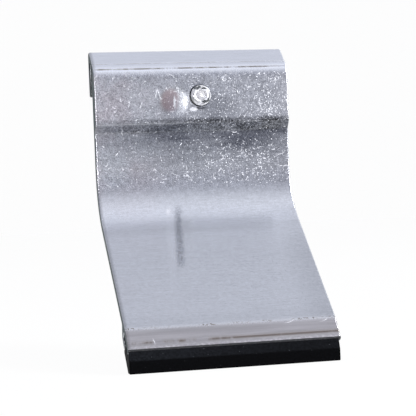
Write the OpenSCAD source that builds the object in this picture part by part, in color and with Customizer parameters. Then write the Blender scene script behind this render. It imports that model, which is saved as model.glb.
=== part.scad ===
// Roof snow guard: an aluminium extrusion that hooks over a snow rail and is clamped there
// by a set screw. Its ramp runs down to the roof, where a rubber foot stops sliding snow.
// Origin: middle of the hook's slot, where the rail's edge seats. +X along the extrusion,
// +Y towards the rail's far side, +Z up. Millimetres.

/* [Extrusion] */
// Width of the guard, along the extrusion
guard_w = 76.2; // [40:0.1:160]
// Thickness of the plate and the ramp
plate_t = 3; // [2.4:0.1:4.2]
// Thickness of the upper wall, which takes the screw's thread
wall_t = 5.4; // [4.8:0.1:7]

/* [Hook] */
// Gap of the slot between the upper wall and the back leg
slot_gap = 4.7; // [4.3:0.1:6]
// Slope of the hook's roof from level, in degrees
roof_slope = 41; // [30:1:48]
// Thickness of the sloped roof
roof_t = 2.8; // [2.2:0.1:3.4]
// Thickness of the level crown above the back leg
crown_t = 2.9; // [2.5:0.1:4.5]
// Thickness of the back leg
leg_t = 2.4; // [2:0.1:4]
// Drop from the seat to the end of the back leg
leg_drop = 12.3; // [10:0.1:18]
// How far the bead at the leg's end stands into the slot
leg_bead_t = 0.9; // [0.5:0.1:1.4]
// Height of that bead
leg_bead_h = 3; // [2:0.1:4]
// Radius of the rounded end of the leg
leg_end_r = 1.2; // [0.6:0.1:1.4]
// Radius of the shoulder between the wall and the roof
shoulder_r = 8; // [3:0.1:9]
// Radius of the crown's front and back edges
crown_r = 1.8; // [1:0.1:2]

/* [Wall and ramp] */
// Drop from the seat to the crease under the upper wall
crease_drop = 23.8; // [22:0.1:32]
// Height of the sloped step from the wall back to the plate
step_h = 3; // [1.5:0.1:5]
// Drop from the crease to the corner of the bend
bend_drop = 29.7; // [24:0.1:45]
// Radius of the bend, on its hollow front
bend_r = 27; // [15:0.1:36]
// Lean of the ramp from upright, in degrees
ramp_lean = 50; // [45:0.5:58]
// Length of the ramp from the corner of the bend to the lip
ramp_l = 67.7; // [50:0.1:100]

/* [Lip and channel] */
// Lean of the lip from upright, in degrees
lip_lean = 39; // [34:0.5:43]
// Length of the lip
lip_l = 9.2; // [8:0.1:11]
// Radius of the bend from the ramp to the lip
lip_bend_r = 9; // [5:0.5:14]
// Thickness of the lip
lip_t = 2.4; // [1.8:0.1:2.9]
// Gap of the channel behind the lip
channel_gap = 3; // [2.6:0.1:4]
// Gap of the channel's mouth, at the bead of the jaw
mouth_gap = 1.9; // [1.4:0.1:2.4]
// Thickness of the jaw behind the channel
jaw_t = 1.9; // [1.5:0.1:2.6]
// How far the jaw ends short of the lip
jaw_short = 5.4; // [4.4:0.1:5.6]
// Depth of the channel from the jaw's end
channel_depth = 4.2; // [4:0.1:5]
// Height of the bead at the jaw's end
jaw_bead_h = 1.5; // [1.2:0.1:2]

/* [Rubber foot] */
// Drop from the lip's end to the sole
foot_drop = 7.8; // [6:0.1:12]
// Lean of the foot's upper band from upright, in degrees
band_lean = 21; // [5:1:35]
// Length of the foot's upper band
band_l = 3.9; // [2.5:0.1:5]
// Width of the sole, front to back
sole_w = 3.8; // [2.5:0.1:7]
// How far the heel stands out behind the jaw
heel_out = 0.7; // [0.2:0.1:1.5]
// Clearance of the foot in its channel
foot_clear = 0.08; // [0.04:0.01:0.15]

/* [Set screw] */
// Diameter of the screw
screw_d = 7.94; // [6:0.005:10]
// Length of the screw
screw_l = 7.94; // [7:0.005:12.7]
// How far the screw's face stands out of the wall
screw_out = 2.6; // [0.5:0.1:6]
// Drop from the seat to the screw's axis
screw_drop = 13.4; // [12:0.1:16]
// Place of the screw's axis across the guard
screw_x = 3; // [-20:0.1:20]
// Width across the flats of the socket
socket_af = 3.97; // [3:0.01:5]
// Depth of the socket's flats
socket_depth = 3.6; // [3:0.1:5]
// Chamfer round the socket's face
face_chamfer = 0.8; // [0.3:0.1:1.2]
// Radius of the rounded point
point_r = 6.5; // [5.5:0.1:9]
// Radial clearance of the screw in its hole
screw_clear = 0.05; // [0.02:0.01:0.1]

/* [Marks] */
// Width of the dent in the upper wall
dent_d = 11.5; // [8:0.5:16]
// Depth of the dent
dent_depth = 0.5; // [0.1:0.05:0.8]
// Place of the dent across the guard
dent_x = -7.5; // [-20:0.5:20]
// Drop from the seat to the middle of the dent
dent_drop = 15.6; // [13:0.1:17]
// Radius of the fine die lines drawn along the extrusion
line_r = 0.25; // [0.15:0.01:0.35]
// Height of the die line up the roof, from the shoulder's corner
roof_line = 4.2; // [4:0.1:6]
// Place of the die line round the shoulder, down from the roof, in degrees
shoulder_line = 18; // [10:1:35]
// Height of the die line up the lip, from its end
lip_line = 3.1; // [2:0.1:5]

/* [Hidden] */
$fn = 96;
worn_r = 0.6;                 // worn outer edges
inner_r = 0.8;                // inner corners of slot and channel
web_r = 2.2;                  // outer corner of the channel's web
overlap = 0.4;                // how far a corner piece laps into its neighbour
line_lift = 0.05;             // die lines are cut from just off the surface
cut_w = guard_w + 2 * overlap;

// Faces of the upper wall, the plate and the back leg, along Y
wall_back = -slot_gap / 2;
wall_front = wall_back - wall_t;
plate_front = wall_back - plate_t;
leg_front = slot_gap / 2;
leg_back = leg_front + leg_t;

// Heights of the hook: the roof's inner face passes through the seat at the origin
roof_rise = tan(roof_slope);
roof_lift = roof_t / cos(roof_slope);
crown_z = leg_front * roof_rise + crown_t;
shoulder = [wall_front, wall_front * roof_rise + roof_lift];
crown_front = [(crown_z - roof_lift) / roof_rise, crown_z];
roof_up = [cos(roof_slope), sin(roof_slope)];
shoulder_mid = shoulder + bend_offset(crown_front, shoulder, [wall_front, -crease_drop], shoulder_r);
leg_end = -leg_drop;
leg_bead_top = leg_end + leg_bead_h;

// The ramp and the lip: each has a direction down its face and a normal into the metal
crease_z = -crease_drop;
step_end = crease_z - step_h;
ramp_down = [-sin(ramp_lean), -cos(ramp_lean)];
ramp_in = [cos(ramp_lean), -sin(ramp_lean)];
lip_down = [-sin(lip_lean), -cos(lip_lean)];
lip_in = [cos(lip_lean), -sin(lip_lean)];
bend_front = [plate_front, crease_z - bend_drop];
lip_top = bend_front + ramp_l * ramp_down;
lip_end = lip_top + lip_l * lip_down;
ramp_back = lip_top + plate_t * ramp_in;
bend_back = meet([wall_back, 0], [0, -1], ramp_back, ramp_down);

// The channel, measured from the lip's end: up the lip and in from its face
jaw_in = lip_t + channel_gap;
jaw_out = jaw_in + jaw_t;
mouth_in = lip_t + mouth_gap;
channel_top = jaw_short + channel_depth;
bead_low = jaw_short + jaw_bead_h;
bead_high = bead_low + channel_gap - mouth_gap;
web_corner = lip_point(channel_top + jaw_t / 2, jaw_out);
web_foot = meet(web_corner, -lip_down - lip_in, ramp_back, ramp_down);

// The low end of the foot's upper band, from the lip's end
band_end = band_l * [-sin(band_lean), -cos(band_lean)];

function unit(v) = v / norm(v);
function bisector(a, b, c) = unit(unit(a - b) + unit(c - b));
function half_angle(a, b, c) = acos(unit(a - b) * unit(c - b)) / 2;
function bend_offset(a, b, c, r) = bisector(a, b, c) * r / sin(half_angle(a, b, c));
function slope_out(slope) = [-sin(slope), cos(slope)];
function meet(p, u, q, v) = p + u * cross(q - p, v) / cross(u, v);
function foot_point(up, inward) = inward * lip_in - up * lip_down;
function lip_point(up, inward) = lip_end + foot_point(up, inward);
function flat(p) = [p[0], p[1]];
function with_r(p, r) = [p[0], p[1], r];

// The piece between a corner at b and the arc of radius r that rounds it
module corner_piece(a, b, c, r) {
    half = half_angle(a, b, c);
    reach = r / tan(half);
    middle = bisector(a, b, c);
    difference() {
        polygon([b + unit(a - b) * reach, b - middle * overlap, b + unit(c - b) * reach]);
        translate(b + bend_offset(a, b, c, r)) circle(r);
    }
}

// All corner pieces of an outline: turn 1 gives its outer corners, -1 its inner ones
module corner_pieces(points, turn) {
    count = len(points);
    for (i = [0 : count - 1]) {
        a = flat(points[(i + count - 1) % count]);
        b = flat(points[i]);
        c = flat(points[(i + 1) % count]);
        if (points[i][2] > 0 && cross(b - a, c - b) * turn > 0) {
            corner_piece(a, b, c, points[i][2]);
        }
    }
}

// A section drawn in Y and Z, extruded along X over the length given
module along_guard(length) {
    rotate([90, 0, 90]) linear_extrude(length, center = true) children();
}

// A bar as long as the guard, from a counter-clockwise outline of [y, z, corner radius]
module rounded_bar(points) {
    difference() {
        union() {
            along_guard(guard_w) polygon([for (p = points) flat(p)]);
            along_guard(guard_w) corner_pieces(points, -1);
        }
        along_guard(cut_w) corner_pieces(points, 1);
    }
}

// A fine groove along the guard, cut at p on a face whose outward normal is out
module die_line(p, out) {
    along_guard(cut_w) translate(p + out * line_lift) circle(line_r);
}

// The clip's outline: up the back from the lip's end, over the hook and down the front
module clip_bar() {
    rounded_bar([
        with_r(lip_end, worn_r),
        with_r(lip_point(0, lip_t), worn_r),
        with_r(lip_point(channel_top, lip_t), inner_r),
        with_r(lip_point(channel_top, jaw_in), inner_r),
        with_r(lip_point(bead_high, jaw_in), inner_r / 2),
        with_r(lip_point(bead_low, mouth_in), worn_r),
        with_r(lip_point(jaw_short, mouth_in), worn_r),
        with_r(lip_point(jaw_short, jaw_out), worn_r),
        with_r(web_corner, web_r),
        with_r(web_foot, inner_r),
        with_r(bend_back, bend_r + plate_t),
        [wall_back, wall_back * roof_rise, inner_r],
        [leg_front, leg_front * roof_rise, inner_r],
        [leg_front, leg_bead_top + leg_bead_t, inner_r],
        [leg_front - leg_bead_t, leg_bead_top, inner_r],
        [leg_front - leg_bead_t, leg_end, leg_end_r],
        [leg_back, leg_end, leg_end_r],
        [leg_back, crown_z, crown_r],
        with_r(crown_front, crown_r),
        with_r(shoulder, shoulder_r),
        [wall_front, crease_z, worn_r],
        [plate_front, step_end, inner_r],
        with_r(bend_front, bend_r),
        with_r(lip_top, lip_bend_r)
    ]);
}

// The foot's outline: sole, heel, and the tongue that fills the channel. It is drawn from
// the lip's end and then moved there
module foot_bar() {
    tongue_front = lip_t + foot_clear;
    tongue_back = jaw_in - foot_clear;
    neck_back = mouth_in - foot_clear;
    heel_up = jaw_short - foot_clear;
    tongue_top = channel_top - inner_r;
    translate([0, lip_end.x, lip_end.y])
    rounded_bar([
        with_r(foot_point(-foot_clear, 0), 0),
        with_r(band_end, worn_r),
        [band_end.x, -foot_drop, worn_r],
        [band_end.x + sole_w, -foot_drop, inner_r],
        with_r(foot_point(heel_up, jaw_out + heel_out), inner_r),
        with_r(foot_point(heel_up, neck_back), 0),
        with_r(foot_point(bead_low, neck_back), 0),
        with_r(foot_point(bead_high, tongue_back), 0),
        with_r(foot_point(tongue_top, tongue_back), 0),
        with_r(foot_point(tongue_top, tongue_front), 0),
        with_r(foot_point(-foot_clear, tongue_front), 0)
    ]);
}

// The tapped hole, as a plain bore through the upper wall
module screw_hole() {
    translate([screw_x, wall_back + overlap, -screw_drop])
    rotate([90, 0, 0])
    cylinder(h = wall_t + 2 * overlap, d = screw_d + 2 * screw_clear);
}

// The dent: a shallow dish pressed into the front of the upper wall
module dent() {
    dish_r = (pow(dent_d / 2, 2) + pow(dent_depth, 2)) / (2 * dent_depth);
    translate([dent_x, wall_front + dent_depth - dish_r, -dent_drop]) sphere(dish_r);
}

// The screw's shank, standing on its point, with a chamfered face on top
module shank() {
    shank_l = screw_l - face_chamfer;
    cylinder(h = shank_l, d = screw_d);
    translate([0, 0, shank_l]) cylinder(h = face_chamfer, d1 = screw_d, d2 = screw_d - 2 * face_chamfer);
}

// The space that a rounded point leaves: a ball below, open above its middle
module point_round() {
    translate([0, 0, point_r]) sphere(point_r);
    translate([0, 0, point_r]) cylinder(h = screw_l, d = 2 * screw_d);
}

// The hexagon socket, with the cone of the drill that opened it
module socket() {
    drill_tip = socket_af / 4;
    socket_floor = screw_l - socket_depth;
    translate([0, 0, socket_floor]) cylinder(h = screw_l, d = socket_af / cos(30), $fn = 6);
    translate([0, 0, socket_floor - drill_tip]) cylinder(h = drill_tip, d1 = 0, d2 = socket_af);
}

module clip_body() {
    line_out = slope_out(roof_slope + shoulder_line);
    color("silver")
    difference() {
        clip_bar();
        die_line(shoulder + roof_line * roof_up, slope_out(roof_slope));
        die_line(shoulder_mid + shoulder_r * line_out, line_out);
        die_line(lip_point(lip_line, 0), -lip_in);
        screw_hole();
        dent();
    }
}

module rubber_foot() {
    color("dimgray") foot_bar();
}

module set_screw() {
    point_y = wall_front - screw_out + screw_l;
    color("gainsboro")
    translate([screw_x, point_y, -screw_drop])
    rotate([90, 0, 0])
    difference() {
        intersection() {
            shank();
            point_round();
        }
        socket();
    }
}

clip_body();
rubber_foot();
set_screw();
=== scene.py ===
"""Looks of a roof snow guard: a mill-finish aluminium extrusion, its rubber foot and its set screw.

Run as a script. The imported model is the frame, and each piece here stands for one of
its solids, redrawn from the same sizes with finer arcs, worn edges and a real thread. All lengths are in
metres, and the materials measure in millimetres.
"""

import functools
import math

import bmesh
import bpy
from mathutils import Matrix, Vector


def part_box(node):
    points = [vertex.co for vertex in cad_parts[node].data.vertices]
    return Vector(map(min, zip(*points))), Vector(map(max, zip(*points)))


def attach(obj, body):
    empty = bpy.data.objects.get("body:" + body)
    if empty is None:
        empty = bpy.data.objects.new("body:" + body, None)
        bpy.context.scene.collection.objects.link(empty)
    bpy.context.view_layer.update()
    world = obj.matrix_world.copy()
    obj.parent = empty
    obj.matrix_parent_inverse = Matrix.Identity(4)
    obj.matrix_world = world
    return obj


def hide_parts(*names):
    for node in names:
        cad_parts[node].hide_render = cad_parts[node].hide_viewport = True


bl_info = {
    "name": "Roof snow guard",
    "version": (1, 0, 0),
    "blender": (4, 5, 0),
    "location": "3D View > Sidebar > Snow guard",
    "description": "Builds the looks of a roof snow guard on its packed frame",
    "category": "Object",
}

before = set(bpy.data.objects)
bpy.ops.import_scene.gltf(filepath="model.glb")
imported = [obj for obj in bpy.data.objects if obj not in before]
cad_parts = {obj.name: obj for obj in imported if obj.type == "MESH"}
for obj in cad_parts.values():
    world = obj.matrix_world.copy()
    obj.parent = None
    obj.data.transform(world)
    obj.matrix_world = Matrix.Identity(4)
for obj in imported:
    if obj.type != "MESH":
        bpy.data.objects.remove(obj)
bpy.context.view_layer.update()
CLIP_LOW, CLIP_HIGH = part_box("clip_body")
SCREW_LOW, SCREW_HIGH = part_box("set_screw")
FLOOR_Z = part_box("rubber_foot")[0].z

MM = 0.001
GUARD_W = (CLIP_HIGH.x - CLIP_LOW.x) / MM
SCREW_X = (SCREW_LOW.x + SCREW_HIGH.x) / 2 / MM

# How the section is drawn: small arcs by angle and wide ones by length, the width of a die line, and how
# near to a face a point has to lie to count as on it
ARC_TURN = math.radians(7)
WIDE_ARC = 5 * MM
WIDE_STEP = 0.8 * MM
GROOVE_W = 0.22 * MM
ON_FACE = 0.01 * MM

# How finely the sweeps and the turned shapes are drawn
CLIP_STATIONS = 163
FOOT_STATIONS = 61
END_STEPS = 6.0
HOLE_SIDES = 128
SCREW_SIDES = 96

# Values that the clip's section carries into its material
ZONES = (
    "scuffed", "film", "grime", "slot", "ramp", "lip", "lip_edge", "lip_foot", "lip_ridge", "die_line", "edge"
)

# How far the dirt and painted shade of the roof's, the shoulder's and the lip's die line reaches
LINE_REACH = (0.22 * MM, 0.5 * MM, 0.8 * MM)

# Where the scratches gather on the wall and the plate: place across, height and reach, in millimetres
SCRATCHED = (
    (32.0, -7.0, 4.5),
    (30.0, -11.5, 4.0),
    (30.5, -19.3, 7.0),
    (13.5, -7.0, 3.5),
    (5.8, -40.0, 5.0),
    (-2.5, -44.5, 4.5),
    (12.3, -37.0, 3.5),
    (20.0, -36.5, 5.0),
    (27.5, -37.5, 5.5),
)

# Longer scratches on the left of the wall: both ends, each as place across and height, in millimetres
STROKES = (
    ((-13.7, -10.4), (-14.7, -14.2)),
    ((-13.7, -10.4), (-12.4, -14.8)),
    ((-19.8, -15.4), (-20.8, -17.9)),
    ((-25.3, -14.9), (-24.7, -16.0)),
    ((-24.7, -16.0), (-25.3, -17.1)),
    ((-31.1, -6.3), (-30.0, -5.4)),
)

# Painted shade and dark reflections round the screw's socket and chamfer: place across and height from the
# axis, half sizes and strength
SOCKET_SHADE = (
    (-1.9, 2.75, 1.5, 0.95, 0.95),
    (-0.7, 3.2, 0.65, 0.9, 1.0),
    (0.9, 2.5, 1.8, 0.5, 0.95),
    (1.3, -2.4, 2.0, 0.7, 1.0),
    (2.6, -1.9, 0.7, 0.95, 1.0),
    (3.2, 0.5, 0.35, 2.0, 0.6),
    (-3.6, -1.7, 1.0, 1.5, 0.7),
    (-1.3, -2.7, 0.9, 0.6, 0.35),
)


def length(name, text, millimetres):
    """A length that a user can change, given in millimetres and kept in metres."""
    return bpy.props.FloatProperty(
        name=name, description=text, default=millimetres * MM, unit="LENGTH", precision=5
    )


def turn(name, text, degrees):
    """An angle that a user can change, given in degrees."""
    return bpy.props.FloatProperty(
        name=name, description=text, default=math.radians(degrees), subtype="ANGLE"
    )


def tint(name, text, colour):
    """A colour that a user can change, with values from 0 to 1."""
    return bpy.props.FloatVectorProperty(
        name=name, description=text, default=colour, size=3, min=0, max=1, subtype="COLOR"
    )


def share(name, text, value):
    """A share from 0 to 1 that a user can change."""
    return bpy.props.FloatProperty(name=name, description=text, default=value, min=0, max=1, subtype="FACTOR")


class GuardSizes(bpy.types.PropertyGroup):
    """Sizes of the extrusion's section, of the foot and of the screw"""

    guard_w: length("Width", "Width of the guard, along the extrusion", GUARD_W)
    plate_t: length("Plate", "Thickness of the plate and the ramp", 3)
    wall_t: length("Wall", "Thickness of the upper wall", 5.4)
    slot_gap: length("Slot", "Gap between the upper wall and the back leg", 4.7)
    roof_slope: turn("Roof slope", "Slope of the hook's roof from level", 41)
    roof_t: length("Roof", "Thickness of the sloped roof", 2.8)
    crown_t: length("Crown", "Thickness of the level crown above the back leg", 2.9)
    leg_t: length("Leg", "Thickness of the back leg", 2.4)
    leg_drop: length("Leg drop", "Drop from the seat to the end of the back leg", 12.3)
    leg_bead_t: length("Leg bead", "How far the bead at the leg's end stands into the slot", 0.9)
    leg_bead_h: length("Leg bead height", "Height of that bead", 3)
    leg_end_r: length("Leg end", "Radius of the rounded end of the leg", 1.2)
    shoulder_r: length("Shoulder", "Radius between the wall and the roof", 8)
    crown_r: length("Crown edges", "Radius of the crown's front and back edges", 1.8)
    crease_drop: length("Crease", "Drop from the seat to the crease under the upper wall", 23.8)
    step_h: length("Step", "Height of the sloped step from the wall back to the plate", 3)
    bend_drop: length("Bend drop", "Drop from the crease to the corner of the bend", 29.7)
    bend_r: length("Bend", "Radius of the bend, on its hollow front", 27)
    ramp_lean: turn("Ramp lean", "Lean of the ramp from upright", 50)
    ramp_l: length("Ramp", "Length of the ramp from the corner of the bend to the lip", 67.7)
    lip_lean: turn("Lip lean", "Lean of the lip from upright", 39)
    lip_l: length("Lip", "Length of the lip", 9.2)
    lip_bend_r: length("Lip bend", "Radius of the bend from the ramp to the lip", 9)
    lip_t: length("Lip thickness", "Thickness of the lip", 2.4)
    channel_gap: length("Channel", "Gap of the channel behind the lip", 3)
    mouth_gap: length("Mouth", "Gap of the channel's mouth, at the bead of the jaw", 1.9)
    jaw_t: length("Jaw", "Thickness of the jaw behind the channel", 1.9)
    jaw_short: length("Jaw end", "How far the jaw ends short of the lip", 5.4)
    channel_depth: length("Channel depth", "Depth of the channel from the jaw's end", 4.2)
    jaw_bead_h: length("Jaw bead", "Height of the bead at the jaw's end", 1.5)
    foot_drop: length("Foot", "Drop from the lip's end to the sole", 7.8)
    band_lean: turn("Band lean", "Lean of the foot's upper band from upright", 21)
    band_l: length("Band", "Length of the foot's upper band", 3.9)
    sole_w: length("Sole", "Width of the sole, front to back", 3.8)
    heel_out: length("Heel", "How far the heel stands out behind the jaw", 0.7)
    foot_clear: length("Foot clearance", "Clearance of the foot in its channel", 0.08)
    foot_short: length("Foot cut", "How much shorter the foot is cut at its right end", 0.95)
    worn_r: length("Worn edges", "Radius of the worn outer edges", 0.6)
    inner_r: length("Inner corners", "Radius of the inner corners of slot and channel", 0.8)
    web_r: length("Web", "Radius of the outer corner of the channel's web", 2.2)
    end_round: length("Sawn ends", "How deep the edges of the sawn ends are rolled over", 0.3)
    end_reach: length("Rolled edges", "How far in from each end the faces are rolled over", 0.55)
    screw_x: length("Screw place", "Place of the screw's axis across the guard", SCREW_X)
    screw_drop: length("Screw drop", "Drop from the seat to the screw's axis", 13.4)
    screw_d: length("Screw", "Diameter over the screw's thread", 7.94)
    screw_l: length("Screw length", "Length of the screw", 7.94)
    screw_out: length("Screw stand", "How far the screw's face stands out of the wall", 2.6)
    screw_clear: length("Screw clearance", "Radial clearance of the screw in its hole", 0.05)
    thread_pitch: length("Thread pitch", "Advance of the thread in one turn", 25.4 / 18)
    thread_depth: length("Thread depth", "Depth of the thread", 0.7)
    socket_af: length("Socket", "Width across the flats of the socket", 3.97)
    socket_depth: length("Socket depth", "Depth of the socket's flats", 3.6)
    face_chamfer: length("Face chamfer", "Chamfer round the socket's face", 0.8)
    point_r: length("Point", "Radius of the screw's rounded point", 6.5)


class GuardMarks(bpy.types.PropertyGroup):
    """Dents, lines and wear that the guard has gathered"""

    dent_d: length("Dent", "Width of the dent in the upper wall", 11.5)
    dent_depth: length("Dent depth", "Depth of the dent", 0.5)
    dent_x: length("Dent place", "Place of the dent across the guard", -7.5)
    dent_drop: length("Dent drop", "Drop from the seat to the middle of the dent", 15.6)
    line_depth: length("Die lines", "Depth of the fine lines drawn along the extrusion", 0.12)
    roof_line: length("Roof line", "Height of the die line up the roof", 4.2)
    shoulder_line: turn("Shoulder line", "Place of the die line round the shoulder, down from the roof", 18)
    lip_line: length("Lip line", "Height of the die line up the lip", 3.1)
    scratches: share("Scratches", "How many small bright scratches the wall and the plate carry", 0.6)


class GuardColours(bpy.types.PropertyGroup):
    """Colours of the metal, the rubber and the stage"""

    metal: tint("Aluminium", "Clean mill-finish aluminium", (0.69, 0.71, 0.76))
    metal_warm: tint("Warm film", "Thin pinkish film on the left of the wall", (0.61, 0.53, 0.565))
    lip_film: tint("Lip film", "Brownish film on the lip", (0.47, 0.455, 0.475))
    dent_stain: tint("Dent stain", "Pinkish stain in the left of the dent", (0.54, 0.45, 0.48))
    # Near-black for grime and for painted shade along the crease, on the step, in the slot and under the
    # screw
    grime: tint("Grime", "Dark grime along the crease", (0.05, 0.052, 0.055))
    # Grey for the dirt film and nicks, and for painted shade and reflection under the crease, on the step and
    # plate, and in the screw's smeared reflection on the ramp
    film: tint("Dirt film", "Grey film that gathers under the crease", (0.17, 0.18, 0.215))
    # Bright metal for the scratches, and for painted highlights, glints and the pale part of the screw's
    # reflection
    metal_bright_and_highlight: tint("Scratch", "Fresh metal in the small scratches", (0.95, 0.96, 1.0))
    # Brown-black for dirt and painted groove shade in the die lines
    die_line_dirt_and_shade: tint("Stain", "Dark dirt in the die lines", (0.085, 0.068, 0.058))
    sawn: tint("Sawn end", "Dull metal of the sawn ends", (0.022, 0.05, 0.058))
    rubber: tint("Rubber", "Black rubber of the foot", (0.0016, 0.0017, 0.0022))
    # Dark grey for the dust and painted light on the foot's upper band, and for the painted shadow on the
    # lip's end
    rubber_dust_light_and_shade: tint("Rubber dust", "Dust on the foot's upper band", (0.0072, 0.0079, 0.0098))
    steel: tint("Screw", "Bright stainless steel of the screw", (0.83, 0.835, 0.86))
    # Dark for the thread's oil and for the painted shade round the socket
    oil_and_shade: tint("Oil", "Dark oil in the screw's thread and socket", (0.075, 0.085, 0.09))
    floor: tint("Floor", "Pale floor and backdrop", (0.9, 0.9, 0.9))


def polar(angle):
    """Direction down a face that leans by an angle from upright, in the section's Y and Z."""
    return Vector((-math.sin(angle), -math.cos(angle)))


def inward(down):
    """Direction into the metal behind a front face that runs down."""
    return Vector((-down.y, down.x))


def crossing(p, u, q, v):
    """Where the line from p along u meets the line from q along v."""
    gap = q - p
    return p + u * ((gap.x * v.y - gap.y * v.x) / (u.x * v.y - u.y * v.x))


def arc_centre(before, here, after, radius):
    """Centre of the arc that rounds a corner."""
    to_before = (before - here).normalized()
    to_after = (after - here).normalized()
    half = to_before.angle(to_after) / 2
    return here + (to_before + to_after).normalized() * (radius / math.sin(half))


class Section:
    """Named points of the guard's section, in Y and Z, worked out from its sizes"""

    def __init__(self, sizes, marks):
        self.sizes = sizes
        self.wall_back = -sizes.slot_gap / 2
        self.wall_front = self.wall_back - sizes.wall_t
        self.plate_front = self.wall_back - sizes.plate_t
        self.leg_front = sizes.slot_gap / 2
        self.leg_back = self.leg_front + sizes.leg_t
        self.roof_rise = math.tan(sizes.roof_slope)
        roof_lift = sizes.roof_t / math.cos(sizes.roof_slope)
        self.crown_z = self.leg_front * self.roof_rise + sizes.crown_t
        self.shoulder = Vector((self.wall_front, self.wall_front * self.roof_rise + roof_lift))
        self.crown_front = Vector(((self.crown_z - roof_lift) / self.roof_rise, self.crown_z))
        self.leg_end = -sizes.leg_drop
        self.leg_bead_top = self.leg_end + sizes.leg_bead_h
        self.crease_z = -sizes.crease_drop
        self.crease_edge = Vector((self.wall_front, self.crease_z))
        self.step_end = self.crease_z - sizes.step_h
        self.ramp_down = polar(sizes.ramp_lean)
        self.lip_down = polar(sizes.lip_lean)
        self.ramp_in = inward(self.ramp_down)
        self.lip_in = inward(self.lip_down)
        self.bend_front = Vector((self.plate_front, self.crease_z - sizes.bend_drop))
        self.bend_start = self.bend_front.y + sizes.bend_r * math.tan(sizes.ramp_lean / 2)
        self.lip_top = self.bend_front + sizes.ramp_l * self.ramp_down
        self.lip_end = self.lip_top + sizes.lip_l * self.lip_down
        ramp_back = self.lip_top + sizes.plate_t * self.ramp_in
        self.bend_back = crossing(Vector((self.wall_back, 0)), Vector((0, -1)), ramp_back, self.ramp_down)
        self.jaw_in = sizes.lip_t + sizes.channel_gap
        self.jaw_out = self.jaw_in + sizes.jaw_t
        self.mouth_in = sizes.lip_t + sizes.mouth_gap
        self.channel_top = sizes.jaw_short + sizes.channel_depth
        self.bead_low = sizes.jaw_short + sizes.jaw_bead_h
        self.bead_high = self.bead_low + sizes.channel_gap - sizes.mouth_gap
        self.web_corner = self.lip_point(self.channel_top + sizes.jaw_t / 2, self.jaw_out)
        self.web_foot = crossing(self.web_corner, -self.lip_down - self.lip_in, ramp_back, self.ramp_down)
        self.sole_z = self.lip_end.y - sizes.foot_drop
        self.band_end = self.lip_end + sizes.band_l * polar(sizes.band_lean)
        roof_up = Vector((math.cos(sizes.roof_slope), math.sin(sizes.roof_slope)))
        middle = arc_centre(self.crown_front, self.shoulder, self.crease_edge, sizes.shoulder_r)
        line_turn = sizes.roof_slope + marks.shoulder_line
        line_out = Vector((-math.sin(line_turn), math.cos(line_turn)))
        self.die_lines = [
            self.shoulder + marks.roof_line * roof_up,
            middle + sizes.shoulder_r * line_out,
            self.lip_point(marks.lip_line, 0),
        ]

    def lip_point(self, up, deep):
        """A point measured up the lip from its end and in from its face."""
        return self.lip_end - up * self.lip_down + deep * self.lip_in

    def clip_corners(self):
        """Corners of the clip with their radii: up the back, over the hook and down the front."""
        s = self.sizes
        return [
            (self.lip_point(self.channel_top, self.jaw_in), s.inner_r),
            (self.lip_point(self.bead_high, self.jaw_in), s.inner_r / 2),
            (self.lip_point(self.bead_low, self.mouth_in), s.worn_r),
            (self.lip_point(s.jaw_short, self.mouth_in), s.worn_r),
            (self.lip_point(s.jaw_short, self.jaw_out), s.worn_r),
            (self.web_corner, s.web_r),
            (self.web_foot, s.inner_r),
            (self.bend_back, s.bend_r + s.plate_t),
            (Vector((self.wall_back, self.wall_back * self.roof_rise)), s.inner_r),
            (Vector((self.leg_front, self.leg_front * self.roof_rise)), s.inner_r),
            (Vector((self.leg_front, self.leg_bead_top + s.leg_bead_t)), s.inner_r),
            (Vector((self.leg_front - s.leg_bead_t, self.leg_bead_top)), s.inner_r),
            (Vector((self.leg_front - s.leg_bead_t, self.leg_end)), s.leg_end_r),
            (Vector((self.leg_back, self.leg_end)), s.leg_end_r),
            (Vector((self.leg_back, self.crown_z)), s.crown_r),
            (self.crown_front, s.crown_r),
            (self.shoulder, s.shoulder_r),
            (self.crease_edge, s.worn_r),
            (Vector((self.plate_front, self.step_end)), s.inner_r),
            (self.bend_front, s.bend_r),
            (self.lip_top, s.lip_bend_r),
            (self.lip_end, s.worn_r),
            (self.lip_point(0, s.lip_t), s.worn_r),
            (self.lip_point(self.channel_top, s.lip_t), s.inner_r),
        ]

    def foot_corners(self):
        """Corners of the rubber foot with their radii: tongue, band, sole and heel."""
        s = self.sizes
        gap = s.foot_clear
        front = s.lip_t + gap
        back = self.jaw_in - gap
        neck = self.mouth_in - gap
        heel_up = s.jaw_short - gap
        tongue_top = self.channel_top - s.inner_r
        sole_back = self.band_end.x + s.sole_w
        band_edge_r = 0.15 * MM
        return [
            (self.lip_point(tongue_top, back), 0),
            (self.lip_point(tongue_top, front), 0),
            (self.lip_point(-gap, front), 0),
            (self.lip_point(-gap, 0), band_edge_r),
            (self.band_end, s.worn_r),
            (Vector((self.band_end.x, self.sole_z)), s.worn_r),
            (Vector((sole_back, self.sole_z)), s.inner_r),
            (self.lip_point(heel_up, self.jaw_out + s.heel_out), s.inner_r),
            (self.lip_point(heel_up, neck), 0),
            (self.lip_point(self.bead_low, neck), 0),
            (self.lip_point(self.bead_high, back), 0),
        ]


def near_grooves(places, grooves):
    """Places along a run, drawn closer together where a die line crosses it."""
    for at in grooves:
        places = [p for p in places if abs(p - at) > 3 * GROOVE_W]
        places += [at + GROOVE_W * k / 2 for k in range(-5, 6)]
    return sorted(places)


def groove_dip(place, grooves, depth):
    """How far a place lies below the face, where a die line crosses it."""
    return sum(depth * math.exp(-(((place - at) / GROOVE_W) ** 2)) for at in grooves)


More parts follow.
